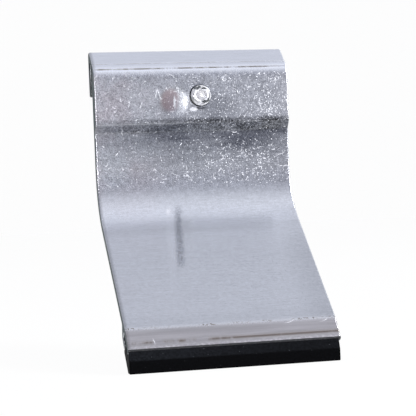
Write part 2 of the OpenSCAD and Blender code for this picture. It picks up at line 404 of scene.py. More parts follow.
def corner_arc(before, here, after, radius, grooves, depth):
    """Points of the arc that rounds a corner, each with the direction into the metal."""
    to_before = (before - here).normalized()
    to_after = (after - here).normalized()
    half = to_before.angle(to_after) / 2
    middle = (to_before + to_after).normalized()
    hollow = to_before.x * to_after.y - to_before.y * to_after.x > 0
    if radius == 0:
        return [(here, -middle if hollow else middle)]
    centre = arc_centre(before, here, after, radius)
    reach = radius / math.tan(half)
    spoke = here + to_before * reach - centre
    last = here + to_after * reach - centre
    sweep = math.atan2(spoke.x * last.y - spoke.y * last.x, spoke.dot(last))
    whole = abs(sweep) * radius
    steps = max(4, math.ceil(abs(sweep) / ARC_TURN))
    if radius > WIDE_ARC:
        steps = max(8, math.ceil(whole / WIDE_STEP))
    crossed = []
    for groove in grooves:
        arm = groove - centre
        at = spoke.angle(arm) * radius
        if abs(arm.length - radius) < ON_FACE and 0 < at < whole and last.angle(arm) < abs(sweep):
            crossed.append(at)
    points = []
    for place in near_grooves([whole * i / steps for i in range(steps + 1)], crossed):
        arm = Matrix.Rotation(sweep * place / whole, 2) @ spoke
        into = arm.normalized() if hollow else -arm.normalized()
        points.append((centre + arm + into * groove_dip(place, crossed, depth), into))
    return points


def straight_run(start, end, step, grooves, depth):
    """Points between two arcs, closer together at each die line, which is pressed a little into the face."""
    whole = (end - start).length
    along = (end - start).normalized()
    into = inward(along)
    count = max(1, math.ceil(whole / step))
    crossed = []
    for groove in grooves:
        at = (groove - start).dot(along)
        if 0 < at < whole and abs((groove - start).dot(into)) < ON_FACE:
            crossed.append(at)
    points = []
    for place in near_grooves([whole * i / count for i in range(1, count)], crossed):
        points.append((start + along * place + into * groove_dip(place, crossed, depth), into))
    return points


def outline(corners, step, grooves=(), depth=0.0):
    """A closed outline, counter-clockwise, with true arcs: points, each with the direction into the metal."""
    count = len(corners)
    arcs = []
    for i, (here, radius) in enumerate(corners):
        before = corners[i - 1][0]
        after = corners[(i + 1) % count][0]
        arcs.append(corner_arc(before, here, after, radius, grooves, depth))
    points = []
    for i, arc in enumerate(arcs):
        following = arcs[(i + 1) % count]
        points += arc
        points += straight_run(arc[-1][0], following[0][0], step, grooves, depth)
    return points


def feed(value, socket):
    """Links a wire to a socket, or sets the socket to a plain value."""
    if isinstance(value, Wire):
        value.tree.links.new(value.socket, socket)
    else:
        socket.default_value = value


def feed_all(sockets, values):
    """Feeds several sockets, found by name or by number."""
    for key, value in values.items():
        feed(value, sockets[key])


def added(tree, kind, inputs=(), output=0, **settings):
    """A new node with its settings and its inputs, given as the wire of one of its outputs."""
    node = tree.nodes.new(kind)
    for name, value in settings.items():
        setattr(node, name, value)
    feed_all(node.inputs, inputs if isinstance(inputs, dict) else dict(enumerate(inputs)))
    return Wire(tree, node.outputs[output])


def solid(colour):
    """A plain colour with its alpha, or a wire as it is."""
    return colour if isinstance(colour, Wire) else (*colour[:3], 1.0)


class Wire:
    """One output of a node, so that nodes can be written as plain sums and products"""

    def __init__(self, tree, socket):
        self.tree = tree
        self.socket = socket

    def output(self, key):
        """Another output of the same node."""
        return Wire(self.tree, self.socket.node.outputs[key])

    def maths(self, operation, *others, clamp=False):
        """A Math node that starts from this value, in any kind of tree."""
        values = (self, *others)
        return added(self.tree, "ShaderNodeMath", values, operation=operation, use_clamp=clamp)

    def __add__(self, other):
        return self.maths("ADD", other)

    def __sub__(self, other):
        return self.maths("SUBTRACT", other)

    def __rsub__(self, other):
        return added(self.tree, "ShaderNodeMath", (other, self), operation="SUBTRACT")

    def __mul__(self, other):
        return self.maths("MULTIPLY", other)

    def __truediv__(self, other):
        return self.maths("DIVIDE", other)

    def __rtruediv__(self, other):
        return added(self.tree, "ShaderNodeMath", (other, self), operation="DIVIDE")

    def __abs__(self):
        return self.maths("ABSOLUTE")

    def most(self, other):
        """The greater of two values."""
        return self.maths("MAXIMUM", other)

    def least(self, other):
        """The smaller of two values."""
        return self.maths("MINIMUM", other)

    def step(self, low, high, below=0.0, above=1.0):
        """A smooth step: one value below low, another above high."""
        values = (self, low, high, below, above)
        return added(self.tree, "ShaderNodeMapRange", values, interpolation_type="SMOOTHSTEP")

    def fall(self, low, high):
        """A smooth step down: 1 below low and 0 above high."""
        return self.step(low, high, 1.0, 0.0)

    def spread(self, below, above, half=0.2):
        """A smooth step across the middle of a cloudy value, whose middle is 0.5."""
        return self.step(0.5 - half, 0.5 + half, below, above)

    def band(self, start, full, fall, end):
        """A soft band: 0 before start, 1 from full to fall, and 0 again after end."""
        return self.step(start, full) * self.fall(fall, end)

    def mix(self, first, second):
        """A mix of two colours by this share of the second. The node's colours are its inputs 6 and 7."""
        inputs = {0: self, 6: solid(first), 7: solid(second)}
        return added(self.tree, "ShaderNodeMix", inputs, 2, data_type="RGBA")

    def vector(self, operation, other):
        """A Vector Math node that starts from this vector."""
        second = "Scale" if operation == "SCALE" else 1
        return added(self.tree, "ShaderNodeVectorMath", {0: self, second: other}, operation=operation)

    def parts(self):
        """The three parts of this vector."""
        first = added(self.tree, "ShaderNodeSeparateXYZ", [self])
        return first, first.output(1), first.output(2)

    def noise(self, scale, detail=2.0, roughness=0.5):
        """A cloudy value from 0 to 1 at the place that this vector gives."""
        inputs = {"Vector": self, "Scale": scale, "Detail": detail, "Roughness": roughness}
        return added(self.tree, "ShaderNodeTexNoise", inputs, "Fac")


def joined(*values):
    """A vector from three values, of which at least one is a wire."""
    tree = next(value.tree for value in values if isinstance(value, Wire))
    return added(tree, "ShaderNodeCombineXYZ", values)


def distance(across, upward):
    """How far a point lies from where both values are 0."""
    return (across * across + upward * upward).maths("SQRT")


def spot(x, z, centre, radii, core=0.3):
    """A soft round spot on a front face: 1 within its core and 0 outside, measured in millimetres."""
    return distance((x - centre[0]) / radii[0], (z - centre[1]) / radii[1]).fall(core, 1.0)


def stroke(x, z, start, end, half_width):
    """A straight soft scratch between two points of a front face, measured in millimetres."""
    middle = (Vector(start) + Vector(end)) / 2
    half = (Vector(end) - Vector(start)).length / 2
    along = (Vector(end) - Vector(start)).normalized()
    right = x - middle.x
    upward = z - middle.y
    run = right * along.x + upward * along.y
    aside = right * along.y - upward * along.x
    return abs(run).fall(half * 0.7, half) * abs(aside).fall(0.0, half_width)


def attribute(tree, name):
    """A value that the piece's mesh carries."""
    return added(tree, "ShaderNodeAttribute", output="Fac", attribute_name=name)


def in_millimetres(tree):
    """Object coordinates in millimetres."""
    return added(tree, "ShaderNodeTexCoord", output="Object").vector("SCALE", 1 / MM)


def grain_millimetres(tree):
    """The grain map in millimetres: how far round the section, then how far along the guard."""
    return added(tree, "ShaderNodeUVMap", uv_map="grain").vector("SCALE", 1 / MM)


def new_group(name, kind, inputs, outputs):
    """An empty node group: its tree, the wires of its named inputs and the sockets of its named outputs."""
    tree = bpy.data.node_groups.new(name, kind)
    for side, labels in (("INPUT", inputs), ("OUTPUT", outputs)):
        for label, socket in labels.items():
            tree.interface.new_socket(label, in_out=side, socket_type="NodeSocket" + socket)
    source = tree.nodes.new("NodeGroupInput")
    given = {label: Wire(tree, source.outputs[label]) for label in inputs}
    return tree, given, tree.nodes.new("NodeGroupOutput").inputs


def scratch_group():
    """Small strokes, each turned its own way, on a flat pattern measured in millimetres."""
    name = "Small scratches"
    if name in bpy.data.node_groups:
        return bpy.data.node_groups[name]
    inputs = {"Vector": "Vector", "Cell": "Float", "Length": "Float", "Width": "Float", "Amount": "Float"}
    tree, given, results = new_group(name, "ShaderNodeTree", inputs, {"Mask": "Float"})
    scaled = given["Vector"].vector("SCALE", 1.0 / given["Cell"])
    cells = {"Vector": scaled, "Scale": 1.0}
    middle = added(tree, "ShaderNodeTexVoronoi", cells, "Position", voronoi_dimensions="2D", feature="F1")
    away = scaled.vector("SUBTRACT", middle).vector("SCALE", given["Cell"])
    red, green, blue = middle.output("Color").parts()
    turned = {"Vector": away, "Angle": red * (2 * math.pi)}
    along, across, _ = added(tree, "ShaderNodeVectorRotate", turned, rotation_type="Z_AXIS").parts()
    reach = given["Length"] * (green + 0.25) * 0.5
    bowed = across + along * along * 0.12
    mask = abs(along).fall(0.0, reach) * abs(bowed).fall(0.0, given["Width"] * 0.5)
    mask = mask * blue.maths("LESS_THAN", given["Amount"])
    feed(mask.maths("MULTIPLY", 1.6, clamp=True), results["Mask"])
    return tree


def lines_group():
    """Fine lines along the extrusion, from how far round the section a point lies and its place along X."""
    name = "Mill lines"
    if name in bpy.data.node_groups:
        return bpy.data.node_groups[name]
    inputs = {"Vector": "Vector", "Spacing": "Float", "Drift": "Float"}
    tree, given, results = new_group(name, "ShaderNodeTree", inputs, {"Height": "Float"})
    run, across, _ = given["Vector"].parts()
    stretched = joined(run / given["Spacing"], across * given["Drift"], 0.0)
    feed(stretched.noise(1.0, 3.0, 0.6), results["Height"])
    return tree


def cloud_group():
    """Soft blotches of two sizes, as handling and dirt leave on metal or rubber."""
    name = "Blotches"
    if name in bpy.data.node_groups:
        return bpy.data.node_groups[name]
    inputs = {"Vector": "Vector", "Large": "Float", "Small": "Float"}
    tree, given, results = new_group(name, "ShaderNodeTree", inputs, {"Broad": "Float", "Fine": "Float"})
    broad = given["Vector"].noise(given["Large"], 3.0, 0.55)
    feed(broad.spread(0.0, 1.0, 0.15), results["Broad"])
    feed(given["Vector"].noise(given["Small"], 4.0, 0.65), results["Fine"])
    return tree


def placed(group, **values):
    """A node group placed in a material with its own values, as the wire of its first output."""
    return added(values["Vector"].tree, "ShaderNodeGroup", values, node_tree=group)


def lone_shader(tree, output, kind):
    """Clears a tree down to one shader at its output, and gives that shader's inputs."""
    tree.nodes.clear()
    target = tree.nodes.new(output)
    shader = tree.nodes.new(kind)
    tree.links.new(shader.outputs[0], target.inputs["Surface"])
    return shader.inputs


def new_material(name, kind="ShaderNodeBsdfPrincipled"):
    """A material with only one shader: the material, its tree and the shader's inputs."""
    material = bpy.data.materials.new(name)
    material.use_nodes = True
    return material, material.node_tree, lone_shader(material.node_tree, "ShaderNodeOutputMaterial", kind)


def bump(height, strength, deep):
    """A normal from a height."""
    inputs = {"Strength": strength, "Distance": deep, "Height": height}
    return added(height.tree, "ShaderNodeBump", inputs)


class ClipFace:
    """Where a point of the clip lies, in millimetres, its zones, and the patterns that several marks share"""

    def __init__(self, tree):
        self.grain = grain_millimetres(tree)
        self.place = in_millimetres(tree)
        self.x, self.y, self.z = self.place.parts()
        for name in ZONES:
            setattr(self, name, attribute(tree, name))
        self.lines = placed(lines_group(), Vector=self.grain, Spacing=0.28, Drift=0.09)
        self.streaks = placed(lines_group(), Vector=self.grain, Spacing=1.6, Drift=0.02)
        self.broad = placed(cloud_group(), Vector=self.place, Large=0.07, Small=2.4)
        self.fine = self.broad.output("Fine")
        self.specks = self.place.noise(1.3, 3.0, 0.7)

    def spot(self, centre, radii, core=0.3):
        """A soft round spot on this face."""
        return spot(self.x, self.z, centre, radii, core)

    def scratches(self, shift, cell, long, wide, amount):
        """Small strokes on this face, from their own part of the pattern."""
        moved = self.grain.vector("ADD", shift)
        return placed(scratch_group(), Vector=moved, Cell=cell, Length=long, Width=wide, Amount=amount)


def fresh_scratches(at, scratches):
    """Bright strokes and specks, more of them to the right, gathered in clusters."""
    rightward = at.x.step(-34.0, 26.0, 0.22, 1.0)
    clean = at.film.step(0.35, 1.0, 1.0, 0.22)
    gathered = at.place.noise(0.17, 3.0, 0.6).step(0.44, 0.64, 0.05, 0.6)
    for across, height, reach in SCRATCHED:
        gathered = gathered.most(at.spot((across, height), (reach, reach * 0.8), 0.1) * 1.1)
    heavy = at.scuffed.step(0.55, 1.0)
    amount = heavy * rightward * gathered * clean * scratches
    even = heavy * rightward * clean * 0.3
    rare = heavy * clean * 0.24 + at.lip * 0.16
    layers = [
        at.scratches((0.0, 0.0, 0.0), 2.1, 2.4, 0.4, amount),
        at.scratches((37.3, 11.9, 0.0), 1.1, 1.1, 0.43, amount) * 0.95,
        at.scratches((63.2, 29.4, 0.0), 0.75, 0.6, 0.46, amount.most(even)) * 0.8,
        at.scratches((81.7, 53.1, 0.0), 6.0, 5.5, 0.27, rare) * 0.85,
    ]
    return functools.reduce(Wire.most, layers)


def clip_tone(at):
    """How light the metal is: mottled where it is scuffed, with painted highlights on the roof and the
    shoulder, painted light and reflections graded down the ramp, and painted shade on the rolled left end.
    """
    x = at.x
    z = at.z
    blotches = at.place.noise(0.55, 3.0, 0.6).spread(0.86, 1.12, 0.15)
    mottle = at.fine.spread(0.68, 1.3) * blotches
    mottle = (mottle - 1.0) * at.scuffed + 1.0
    # Painted highlight: the roof is lifted in lightness and the shoulder's rounding carries a painted bright
    # band
    roof = z.step(-5.0, -1.5, 1.0, 1.14) + z.band(-6.0, -4.4, -2.4, -0.4) * 0.2
    # Painted light down the ramp: graded from its top, a painted highlight below the bend, a painted dark
    # reflection line, and darker at the right and at the low end
    top = z.step(-76.0, -61.0, -0.05, 0.1) + z.step(-59.0, -55.0, 0.0, -0.14)
    highlight = z.band(-63.4, -61.6, -57.0, -52.0) * x.step(-16.0, -2.0, 0.17, 0.1)
    dark_line = z.band(-66.4, -64.8, -64.2, -63.0) * x.step(16.0, 30.0, -0.05, 0.0)
    right_side = z.fall(-58.0, -56.0) * x.step(24.0, 37.0, 0.0, -0.12)
    low_end = z.step(-97.0, -91.0, -0.06, 0.0)
    grain = joined(x * 0.8, at.y, z * 2.0).noise(1.0, 2.0, 0.7).spread(-0.045, 0.045)
    ramp = (top + highlight + dark_line + right_side + low_end + grain) * at.ramp + 1.0
    # Painted shade that tones down the highlight on the rolled left end
    left_roll = x.step(-37.9, -36.6, 0.64, 1.0)
    return mottle * at.lines.spread(0.95, 1.04) * at.streaks.spread(0.99, 1.008) * roof * ramp * left_roll


def clip_films(at, colours):
    """The metal under its films, from the warm one at the left to the dark film and grime that also paint
    shade along the crease, on the step, under it and in the slot.
    """
    x = at.x
    z = at.z
    warm = at.broad * at.scuffed * x.step(-36.0, 0.0, 0.5, 0.04)
    colour = warm.mix(colours.metal, colours.metal_warm)
    colour = at.lip.mix(colour, colours.lip_film)
    patches = at.place.noise(0.11, 3.0).spread(0.8, 1.0, 0.14)
    smears = joined(x * 0.035, 7.0, z * 0.3).noise(1.0, 3.0).step(0.36, 0.62, 0.78, 1.14)
    lower = z.fall(-31.0, -28.0)
    middle = x.band(-14.0, -6.0, 0.0, 10.0) * lower * 0.42
    right = x.band(4.0, 14.0, 30.0, 40.0) * lower * 0.32
    across = x.step(-38.0, -4.0, 0.62, 1.0) + middle + right
    # The film darkens the crease, the step and the plate under it as painted shade, broken up by real smears
    # and patches
    film = at.film * at.streaks.step(0.25, 0.75, 0.88, 1.0) * patches * smears * across
    film = (film * at.specks.step(0.42, 0.56, 0.84, 1.12)).least(1.0)
    colour = film.mix(colour, colours.film)
    smudged = joined(x * 0.09, 3.0, z * 0.2).noise(1.0, 2.0).spread(0.5, 1.1, 0.12)
    # Grime along the crease and the step, laid on as painted shade
    grime = at.grime * at.specks.step(0.42, 0.56, 0.2, 1.0) * smudged * 1.12
    grime = grime * x.step(-38.0, -16.0, 0.5, 1.0) * x.step(-2.0, 10.0, 0.75, 1.2)
    colour = grime.mix(colour, colours.grime)
    # Painted shade inside the slot
    return (at.slot * 0.93).mix(colour, colours.grime)


def wall_marks(at, colour, fresh_and_glint, sizes, marks, colours):
    """Marks on the wall: the dent, stained, and rubbed bright with a painted glint on its crest and beside
    the screw, patches round it, a painted shadow under the screw and long scratches.

    Gives the colour, the share of fresh metal and painted glint, and the share that is rubbed bright or
    painted as a glint.
    """
    dent_x = marks.dent_x / MM
    dent_z = -marks.dent_drop / MM
    half = marks.dent_d / 2 / MM
    screw_x = sizes.screw_x / MM
    screw_z = -sizes.screw_drop / MM
    # Painted glint: a bright strip on the dent's crest, a bright patch in the dent and one beside the screw,
    # taken partly as rubbed metal
    strip = at.spot((dent_x + 0.4, dent_z - 0.2), (0.6, half * 0.6))
    patch = at.spot((dent_x + 4.2, dent_z - 0.4), (4.4, half * 0.9), 0.1)
    beside = at.spot((screw_x - 4.5, screw_z - 0.3), (0.9, 2.6), 0.4)
    stained = at.spot((dent_x - 1.2, dent_z + 0.7), (half * 0.78, half * 0.92), 0.6)
    stained = stained * (1.0 - patch.most(strip))
    patch = patch * at.place.noise(0.45, 2.0).spread(0.2, 0.62, 0.15)
    rubbed_and_glint = patch.most(beside).most(strip) * at.scuffed
    # Painted shadow under the screw
    shade = at.spot((screw_x - 0.5, screw_z - 4.75), (3.4, 0.7), 0.4)
    # A broad darker patch to the right of the screw
    darker_right_of_screw = at.spot((screw_x + 6.5, screw_z - 4.5), (9.5, 8.5), 0.2)
    pale_left = at.spot((-20.0, -13.5), (12.0, 7.0), 0.2)
    right_end = at.x.step(30.0, 37.0, 0.0, 0.3) * at.scuffed * at.z.step(-24.0, -18.0)
    colour = (stained * at.scuffed * 0.9).mix(colour, colours.dent_stain)
    colour = (rubbed_and_glint * 0.7).mix(colour, colours.metal_bright_and_highlight)
    colour = (shade * at.scuffed * 0.85).mix(colour, colours.grime)
    colour = (darker_right_of_screw * at.scuffed * 0.4).mix(colour, colours.film)
    colour = (pale_left * at.scuffed * 0.16).mix(colour, colours.metal_bright_and_highlight)
    colour = right_end.mix(colour, colours.metal_bright_and_highlight)
    # A bright spot below and to the left of the screw
    below = at.spot((screw_x - 2.9, screw_z - 5.1), (2.0, 0.95), 0.55)
    fresh_and_glint = fresh_and_glint.most(below * at.scuffed)
    for start, end in STROKES:
        fresh_and_glint = fresh_and_glint.most(stroke(at.x, at.z, start, end, half_width=0.36) * at.scuffed * 0.62)
    return colour, fresh_and_glint, rubbed_and_glint


def ramp_marks(at, colour, fresh_and_glint, colours):
    """Marks on the ramp: the screw's painted reflection, smeared along the grain and leaning to the left,
    dark beside pale with a glint at its top, and fine dark nicks at the right.

    Gives the colour and the share of fresh metal and painted glint.
    """
    z = at.z
    # Painted reflection of the screw on the ramp: a dark streak, a pale one beside it and a bright glint
    lean = at.x - z * 0.2176 - 4.32
    grainy = at.place.noise(2.0, 2.0, 0.6).step(0.38, 0.6, 0.3, 1.4)
    dark = abs(lean).fall(0.2, 2.3) * z.band(-79.0, -75.5, -59.0, -54.0) * at.ramp * grainy
    pale = abs(lean + 3.4).fall(0.3, 2.2) * z.band(-88.0, -62.0, -58.0, -54.5) * at.ramp
    bright = spot(lean, z, (-3.9, -57.4), (1.2, 1.7)) * at.ramp
    colour = (dark * 0.5).mix(colour, colours.film)
    colour = (pale * 0.22).mix(colour, colours.metal_bright_and_highlight)
    nicked = at.ramp * at.x.step(-4.0, 16.0) * at.place.noise(0.09, 2.0).step(0.45, 0.6) * 0.5
    nicks = at.scratches((17.9, 71.3, 0.0), 2.4, 2.0, 0.2, nicked)
    return (nicks * 0.4).mix(colour, colours.film), fresh_and_glint.most(bright * 0.2)


def line_dirt(at):
    """Dirt and painted groove shade in the die lines of the roof and the lip, and dirt in short dashes on the
    lip's ridge.
    """
    x = at.x
    z = at.z
    broken = joined(x * 0.22, 0.0, at.y * 0.12).noise(1.0, 3.0, 0.6)
    on_roof = abs(x).step(20.0, 36.0, 0.02, -0.03)
    on_lip = x.step(-34.0, 4.0, -0.08, 0.12)
    dirt_and_shade = at.die_line * (broken + z.step(-20.0, -10.0, on_lip, on_roof)).step(0.36, 0.6)
    dashes = joined(x * 0.75, 0.0, z).noise(1.0, 2.0, 0.6).step(0.5, 0.56)
    stretches = joined(x * 0.09, 5.0, 0.0).noise(1.0, 1.0).step(0.46, 0.54)
    return dirt_and_shade.most(dashes * stretches * at.lip_ridge.step(0.45, 0.75))


def aluminium(sizes, marks, colours):
    """Mill-finish aluminium: lines along the extrusion, scratches, films, a dent and dirty die lines."""
    material, tree, shader = new_material("mill_aluminium_drawn")
    at = ClipFace(tree)
    lip_tone = at.lip.mix((1, 1, 1), at.streaks.spread(0.93, 1.12, 0.15))
    colour = clip_films(at, colours).vector("SCALE", clip_tone(at)).vector("MULTIPLY", lip_tone)
    fresh_and_glint = fresh_scratches(at, marks.scratches)
    colour, fresh_and_glint, rubbed_and_glint = wall_marks(at, colour, fresh_and_glint, sizes, marks, colours)
    colour, fresh_and_glint = ramp_marks(at, colour, fresh_and_glint, colours)
    dirt_and_shade = line_dirt(at)
    # Painted highlight along the ridge where the ramp bends into the lip
    colour = (at.lip_ridge * 0.3).mix(colour, colours.metal_bright_and_highlight)
    # Dirt and painted groove shade in the die lines
    colour = (dirt_and_shade * 0.9).mix(colour, colours.die_line_dirt_and_shade)
    # Painted highlight along the crease's edge, fading to the right
    colour = (at.edge * at.x.step(-14.0, 12.0, 0.3, 0.05)).mix(colour, colours.metal)
    frayed = joined(at.x * 0.8, 0.0, at.z * 1.6).noise(1.0, 3.0, 0.7).step(0.46, 0.6)
    fresh_and_glint = fresh_and_glint.most(at.lip_edge * frayed * 0.4)
    colour = (fresh_and_glint * 0.92).mix(colour, colours.metal_bright_and_highlight)
    # Painted shadow: the end of the lip is darkened where it meets the black foot
    painted_lip_shadow = at.lip_foot.step(0.74, 0.86)
    colour = (painted_lip_shadow * 0.95).mix(colour, colours.rubber_dust_light_and_shade)
    dirt_and_shade = dirt_and_shade.most(painted_lip_shadow)

    metallic = 1.0 - fresh_and_glint * 0.8 - rubbed_and_glint * 0.3
    height = at.lines * at.ramp.step(0.0, 1.0, 0.4, 0.12) + at.fine * at.scuffed * 0.5 - fresh_and_glint * 0.6
    feed_all(shader, {
        "Base Color": colour,
        "Roughness": at.fine.spread(0.17, 0.22) + at.scuffed * 0.09 + at.lip * 0.1,
        "Metallic": metallic.maths("SUBTRACT", dirt_and_shade * 0.7, clamp=True),
        "Anisotropic": 0.95,
        "Tangent": added(tree, "ShaderNodeTangent", direction_type="UV_MAP", uv_map="grain"),
        "Normal": bump(height, strength=0.3, deep=0.05 * MM),
    })
    return material


def sawn_metal(colours):
    """The sawn ends: dull, with the saw's marks across them."""
    material, tree, shader = new_material("mill_aluminium_sawn")
    place = in_millimetres(tree)
    x, y, z = place.parts()
    marks = joined(y * 0.15, z * 2.6, x).noise(1.0, 3.0)
    fine = placed(cloud_group(), Vector=place, Large=0.15, Small=1.2).output("Fine")
    tone = marks.spread(0.7, 1.15) * fine.spread(0.85, 1.1)
    toned = {0: tuple(colours.sawn), "Scale": tone}
    feed_all(shader, {
        "Base Color": added(tree, "ShaderNodeVectorMath", toned, operation="SCALE"),
        "Metallic": 0.2,
        "Specular IOR Level": 0.2,
        "Roughness": fine.spread(0.42, 0.6),
        "Normal": bump(marks, strength=0.4, deep=0.05 * MM),
    })
    return material


def black_rubber(colours):
    """Matt extruded rubber with faint lines, pale specks, and dust with painted light on its upper band."""
    material, tree, shader = new_material("black_rubber_drawn")
    grain = grain_millimetres(tree)
    place = in_millimetres(tree)
    lines = placed(lines_group(), Vector=grain, Spacing=0.5, Drift=0.05)
    fine = placed(cloud_group(), Vector=place, Large=0.12, Small=1.6).output("Fine")
    specks = placed(scratch_group(), Vector=grain, Cell=2.2, Length=0.5, Width=0.3, Amount=0.16)
    dust_and_light = attribute(tree, "dust_and_light")
    # Dust and painted light on the upper band, less of it to the right
    kept_dust_and_light = dust_and_light * place.parts()[0].step(-30.0, 24.0, 1.0, 0.55)
    colour = kept_dust_and_light.mix(colours.rubber, colours.rubber_dust_light_and_shade).vector("SCALE", fine.spread(0.5, 1.5))
    pale_speck = (0.5, 0.53, 0.58)
    feed_all(shader, {
        "Base Color": (specks * (dust_and_light * 0.08 + 0.04)).mix(colour, pale_speck),
        "Roughness": fine.spread(0.5, 0.66),
        "Specular IOR Level": 0.02,
        "Normal": bump(lines * 0.4 + fine * 0.6, strength=0.3, deep=0.08 * MM),
    })
    return material


def stainless(sizes, colours, face_y):
    """Bright steel: a pale face and socket, a dark oily thread, and painted shade and dark reflections round
    the socket and its chamfer.
    """
    material, tree, shader = new_material("stainless_screw_drawn")
    place = in_millimetres(tree)
    x, y, z = place.parts()
    x = x - sizes.screw_x / MM
    z = z + sizes.screw_drop / MM
    radius = distance(x, z)
    depth = y - face_y / MM
    oily = attribute(tree, "oily") * depth.step(1.0, 1.8, 0.15, 1.0)
    broad = placed(cloud_group(), Vector=place, Large=0.45, Small=1.8)
    fine = broad.output("Fine")
    brown = (0.70, 0.58, 0.50)
    colour = (broad * 0.1).mix(colours.steel, brown)
    # Painted shade in a thin ring at the inner edge of the chamfer
    ring_shade = abs(radius - 3.1).fall(0.05, 0.3) * place.noise(0.5, 1.0).step(0.4, 0.6, 0.15, 0.9)
    marks = []
    # Painted shade and dark reflections on the socket's walls and round its rim
    for across, height, half_wide, half_high, strength in SOCKET_SHADE:
        marks.append(spot(x, z, (across, height), (half_wide, half_high), 0.45) * strength)
    socket_shade = functools.reduce(Wire.most, marks) * fine.step(0.4, 0.56, 0.7, 1.0)
    colour = colour.vector("SCALE", radius.step(2.1, 3.2, 1.0, 0.84))
    dirt_and_shade = socket_shade.most(ring_shade).most(oily * 0.8)
    pale_share = 1.0 - oily.most(dirt_and_shade)
    feed_all(shader, {
        "Base Color": dirt_and_shade.mix(colour, colours.oil_and_shade),
        "Metallic": 1.0 - pale_share * 0.8,
        "Roughness": fine.spread(0.16, 0.28),
        "Normal": bump(fine, strength=0.15, deep=0.05 * MM),
    })
    return material


def carried(tree, name):
    """A value that the geometry carries, inside a geometry tree."""
    return added(tree, "GeometryNodeInputNamedAttribute", {"Name": name}, data_type="FLOAT")


def stored(geometry, kind, domain, name, value):
    """Geometry that carries a named value from here on."""
    inputs = {"Geometry": geometry, "Name": name, "Value": value}
    return added(geometry.tree, "GeometryNodeStoreNamedAttribute", inputs, data_type=kind, domain=domain)


def finished(geometry, finish, result):
    """The end of a geometry tree: real geometry with its finish."""
    real = added(geometry.tree, "GeometryNodeRealizeInstances", [geometry])
    inputs = {"Geometry": real, "Material": finish}
    feed(added(geometry.tree, "GeometryNodeSetMaterial", inputs), result)


def sweep_tree():
    """Sweeps a section along X, rounds the edges of both ends and lays a grain map along the section."""
    name = "Extruded section"
    if name in bpy.data.node_groups:
        return bpy.data.node_groups[name]
    inputs = dict.fromkeys(("Length", "End round", "End reach"), "Float")
    inputs = {"Geometry": "Geometry", **inputs, "Stations": "Int", "Finish": "Material"}
    tree, given, results = new_group(name, "GeometryNodeTree", inputs, {"Geometry": "Geometry"})
    half = given["Length"] * 0.5
    reach = given["End reach"]
    path = added(tree, "GeometryNodeCurvePrimitiveLine", {"Start": (-1, 0, 0), "End": (1, 0, 0)})
    stations = added(tree, "GeometryNodeResampleCurve", {"Curve": path, "Count": given["Stations"]})

    # The first and last stations follow a quarter of an ellipse, and the rest are evenly spaced
    index = added(tree, "GeometryNodeInputIndex")
    last = given["Stations"] - 1.0
    from_end = index.least(last - index)
    turned = from_end.maths("DIVIDE", END_STEPS, clamp=True) * (math.pi / 2)
    inset = given["End round"] * (1.0 - turned.maths("SINE"))
    share_in = ((from_end - END_STEPS) / (last * 0.5 - END_STEPS)).most(0.0)
    back = reach * (1.0 - turned.maths("COSINE")) + share_in * (half - reach)
    side = (index - last * 0.5).maths("SIGN")
    position = joined(side * (half - back), 0.0, 0.0)
    spaced = added(tree, "GeometryNodeSetPosition", {"Geometry": stations, "Position": position})
    rail = stored(spaced, "FLOAT", "POINT", "inset", inset)

    profile = added(tree, "GeometryNodeMeshToCurve", [given["Geometry"]])
    swept = {"Curve": rail, "Profile Curve": profile, "Fill Caps": True}
    sweep = added(tree, "GeometryNodeCurveToMesh", swept)
    inset = carried(tree, "inset")
    offset = joined(0.0, inset * carried(tree, "into_y"), inset * carried(tree, "into_z"))
    rounded = added(tree, "GeometryNodeSetPosition", {"Geometry": sweep, "Offset": offset})
    x = added(tree, "GeometryNodeInputPosition").parts()[0]
    grain = joined(carried(tree, "run"), x + half, 0.0)
    mapped = stored(rounded, "FLOAT2", "CORNER", "grain", grain)
    finished(mapped, given["Finish"], results["Geometry"])
    return tree


def thread_tree():
    """Cuts a right-hand thread into the outside of a plain screw that lies along Y."""
    name = "Cut thread"
    if name in bpy.data.node_groups:
        return bpy.data.node_groups[name]
    inputs = dict.fromkeys(("Pitch", "Depth", "Radius", "Axis X", "Axis Z", "Face Y"), "Float")
    inputs = {"Geometry": "Geometry", **inputs, "Finish": "Material"}
    tree, given, results = new_group(name, "GeometryNodeTree", inputs, {"Geometry": "Geometry"})
    x, y, z = added(tree, "GeometryNodeInputPosition").parts()
    x = x - given["Axis X"]
    z = z - given["Axis Z"]
    turned = x.maths("ARCTAN2", z) / (2 * math.pi)
    phase = ((y - given["Face Y"]) / given["Pitch"] - turned).maths("FRACT")

    # A narrow flat crest, straight flanks and a flat root, as shares of half a turn
    crest = 0.86
    flank = 0.72
    cut = (crest - abs(phase * 2.0 - 1.0)).maths("DIVIDE", flank, clamp=True)
    radius = distance(x, z).most(1e-6)
    shrink = radius.least(given["Radius"] - cut * given["Depth"]) / radius - 1.0
    shrink = shrink * carried(tree, "outside")
    offset = joined(x * shrink, 0.0, z * shrink)
    threaded = added(tree, "GeometryNodeSetPosition", {"Geometry": given["Geometry"], "Offset": offset})
    finished(threaded, given["Finish"], results["Geometry"])
    return tree


def linked(name, data):
    """A new object in the scene."""
    item = bpy.data.objects.new(name, data)
    bpy.context.scene.collection.objects.link(item)
    return item


def made_real(source, name, tree, values):
    """Runs a node tree on a mesh and returns the result as a plain mesh object at the origin."""
    carrier = linked(name + "_source", source)
    modifier = carrier.modifiers.new("Shape", "NODES")
    modifier.node_group = tree
    for item in tree.interface.items_tree:
        if item.in_out == "INPUT" and item.name in values:
            modifier[item.identifier] = values[item.name]
    return baked(carrier, name)


